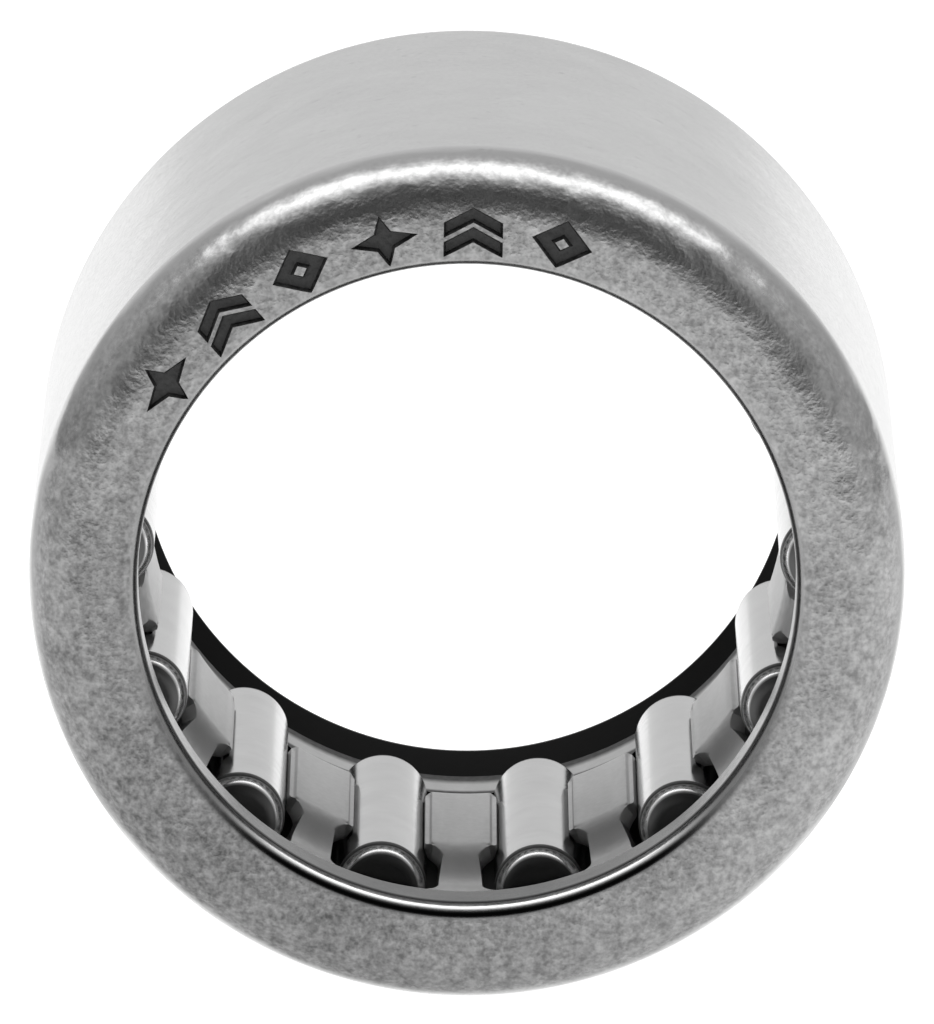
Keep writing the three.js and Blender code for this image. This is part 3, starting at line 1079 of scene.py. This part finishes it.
# %% Build the sector
STEP_PROFILE = (
    # share of the ledge's width, measured from its edge, and share of the step's depth
    (0.00, 1.00),
    (0.62, 1.00),
    (0.72, 0.85),
    (0.84, 0.50),
    (0.94, 0.15),
    (1.04, 0.00),
)
LEAST_LEDGE = 0.07 * MM
PLATE_COLUMNS = 3
BAR_COLUMNS = PLATE_COLUMNS + len(STEP_PROFILE) - 1
RING_COLUMNS = 4
RING_ROWS = 0.08, 0.36, 0.64, 0.92, 1  # shares of the ring's width


def bar_point(side, y, column):
    """Radius, and angle from the bar's middle, of one column of the bar: 0 is the middle."""
    ledge = plate_gap_half_width - pocket_width(y) if abs(y) < ear_end else 0
    across, depth = STEP_PROFILE[BAR_COLUMNS - max(column, PLATE_COLUMNS)]
    from_pocket = pocket_width(y) + max(ledge, LEAST_LEDGE) * across
    radius = sheet_radius(y) + side * cage_sheet / 2
    height = ledge_outer_height if side > 0 else ledge_inner_height
    step = math.hypot(height, from_pocket) - radius
    if step * side < 0:
        radius += step * depth * ease(ledge / ledge_width)
    angle = pocket_pitch / 2 - math.asin(from_pocket / radius)
    return radius, angle * min(column / PLATE_COLUMNS, 1)


def sector_mesh():
    half = stations()
    bar_rows = [-y for y in reversed(half[1:])] + half
    ring_rows = [pocket_half_length + ring_width * share for share in RING_ROWS]
    rows = [-y for y in reversed(ring_rows)] + bar_rows + ring_rows
    work = bmesh.new()
    surfaces = {}

    def corner(side, y, column):
        """A point of the sheet, over the bar and on to the sector's rim."""
        radius, angle = bar_point(side, y, min(abs(column), BAR_COLUMNS))
        past_bar = max(abs(column) - BAR_COLUMNS, 0) / RING_COLUMNS
        angle = math.copysign(angle + (pocket_pitch / 2 - angle) * past_bar, column)
        return radius * math.sin(angle), y, -radius * math.cos(angle)

    for side in (-1, 1):
        for row, y in enumerate(rows):
            full = abs(y) >= pocket_half_length - WELD
            reach = BAR_COLUMNS + (RING_COLUMNS if full else 0)
            for column in range(-reach, reach + 1):
                surfaces[side, row, column] = work.verts.new(corner(side, y, column))

    last = BAR_COLUMNS + RING_COLUMNS
    for row in range(len(rows) - 1):
        for column in range(-last, last):
            corners = [(row, column), (row, column + 1), (row + 1, column + 1), (row + 1, column)]
            if all((1, *c) in surfaces for c in corners):
                for side in (-1, 1):
                    order = corners if side == 1 else corners[::-1]
                    work.faces.new([surfaces[(side, *c)] for c in order])

    place = {vertex: key for key, vertex in surfaces.items()}
    rim = [e for e in work.edges if len(e.link_faces) == 1 and place[e.verts[0]][0] == 1]
    for edge in rim:
        (_, row_a, column_a), (_, row_b, column_b) = (place[v] for v in edge.verts)
        if abs(column_a) == last and abs(column_b) == last:
            continue
        inner = [surfaces[-1, row_b, column_b], surfaces[-1, row_a, column_a]]
        work.faces.new([*edge.verts, *inner])
    mesh = bpy.data.meshes.new("cage_sector")
    work.to_mesh(mesh)
    work.free()
    return mesh


sector = sector_mesh()
print("sector:", len(sector.polygons), "faces")

# %% The tree that sets sectors round the axis
SECTOR_WELD = 0.001 * MM


def sector_ring_tree():
    inputs = {"Count": "Int", "First Angle": "Float", "Material": "Material"}
    tree, group_in, group_out = new_tree("sectors_round_axis", inputs)
    nodes, links = tree.nodes, tree.links
    points = nodes.new("GeometryNodePoints")
    links.new(group_in.outputs["Count"], points.inputs["Count"])
    index = nodes.new("GeometryNodeInputIndex")
    step = nodes.new("ShaderNodeMath")
    step.operation = "DIVIDE"
    step.inputs[0].default_value = 2 * math.pi
    links.new(group_in.outputs["Count"], step.inputs[1])
    turn = nodes.new("ShaderNodeMath")
    turn.operation = "MULTIPLY_ADD"
    links.new(index.outputs[0], turn.inputs[0])
    links.new(step.outputs[0], turn.inputs[1])
    links.new(group_in.outputs["First Angle"], turn.inputs[2])
    backwards = nodes.new("ShaderNodeMath")
    backwards.operation = "MULTIPLY"
    backwards.inputs[1].default_value = -1
    links.new(turn.outputs[0], backwards.inputs[0])
    rotation = nodes.new("ShaderNodeCombineXYZ")
    links.new(backwards.outputs[0], rotation.inputs["Y"])
    spread = nodes.new("GeometryNodeInstanceOnPoints")
    links.new(points.outputs[0], spread.inputs["Points"])
    links.new(group_in.outputs["Geometry"], spread.inputs["Instance"])
    links.new(rotation.outputs[0], spread.inputs["Rotation"])
    chain = [
        nodes.new("GeometryNodeRealizeInstances"),
        nodes.new("GeometryNodeMergeByDistance"),
        nodes.new("GeometryNodeSetMaterial"),
    ]
    chain[1].inputs["Distance"].default_value = SECTOR_WELD
    links.new(group_in.outputs["Material"], chain[2].inputs["Material"])
    flow = spread.outputs["Instances"]
    for node in chain:
        links.new(flow, node.inputs["Geometry"])
        flow = node.outputs["Geometry"]
    links.new(flow, group_out.inputs["Geometry"])
    return tree


SECTOR_TREE = sector_ring_tree()
print("sector tree ready, with", len(SECTOR_TREE.nodes), "nodes")

# %% [markdown]
# The pockets' sheared walls face neither in nor out, so the angle between a face's normal and
# the line out from the axis finds them, and they get their own dark finish, which is painted shade.
# The rims of the end rings face neither in nor out as well, but they lie past the pockets and stay
# as they are.

# %% Build the cage
BEVEL_ANGLE = math.radians(75)
BEVEL_STEPS = 3
WALL_TILT = 0.3


def broken_edges(name, mesh, width):
    """The mesh with its sharp edges bevelled, as tumbling leaves them."""
    face_out(mesh)
    piece = add_piece(name, mesh)
    bevel = piece.modifiers.new("tumbled_edges", "BEVEL")
    bevel.width = width
    bevel.segments = BEVEL_STEPS
    bevel.limit_method = "ANGLE"
    bevel.angle_limit = BEVEL_ANGLE
    bevel.harden_normals = True
    bpy.context.view_layer.update()
    evaluated = piece.evaluated_get(bpy.context.evaluated_depsgraph_get())
    piece.data = bpy.data.meshes.new_from_object(evaluated)
    piece.modifiers.clear()
    return piece


def dress_walls(piece):
    """Gives the pockets' sheared walls their own dark finish, which is painted shade."""
    piece.data.materials.append(SHADED_WALL)
    for face in piece.data.polygons:
        outward = Vector((face.center.x, 0, face.center.z)).normalized()
        in_pocket = abs(face.center.y) < pocket_half_length + sheet_edge
        if in_pocket and abs(face.normal.dot(outward)) < WALL_TILT:
            face.material_index = 1


first_bar = first_pocket + pocket_pitch / 2
cage_inputs = {"Count": needle_count, "First Angle": first_bar, "Material": CAGE}
cage_mesh = run_tree("cage", sector, SECTOR_TREE, cage_inputs)
cage = broken_edges("cage", cage_mesh, sheet_edge)
dress_walls(cage)
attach(cage, "cage")
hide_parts("needle_cage")
print("cage:", len(cage.data.polygons), "faces")

# %% [markdown]
# ## The needles
# Each needle turns by itself, so each is its own piece on its own body, made by the ring tree
# with the axis at the place its joint names. Its ends are flat with a rounded edge, so that it
# doesn't dig into the cage.

# %% Needles
NEEDLE_STEPS = 64


def needle_section():
    return rounded_section([
        (0, -needle_half_length, 0, 0),
        (needle_radius, -needle_half_length, needle_edge, 8),
        (needle_radius, needle_half_length, needle_edge, 8),
        (0, needle_half_length, 0, 0),
    ])


for number, spin in enumerate(spins, start=1):
    name = f"needle_{number:02d}"
    axis = (spin["pos_m"][0], 0, spin["pos_m"][2])
    mesh = turned(name, needle_section(), NEEDLE_STEPS, axis, NEEDLE, closed=False)
    needle = add_piece(name, mesh)
    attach(needle, spin["child"])
    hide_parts(f"needle_roller_{number:02d}")
print("needles:", needle_count, "of", len(mesh.polygons), "faces")

# %% [markdown]
# ## Sizes
# The dressed model must be the size of the CAD model.

# %% Finish
bpy.context.view_layer.update()
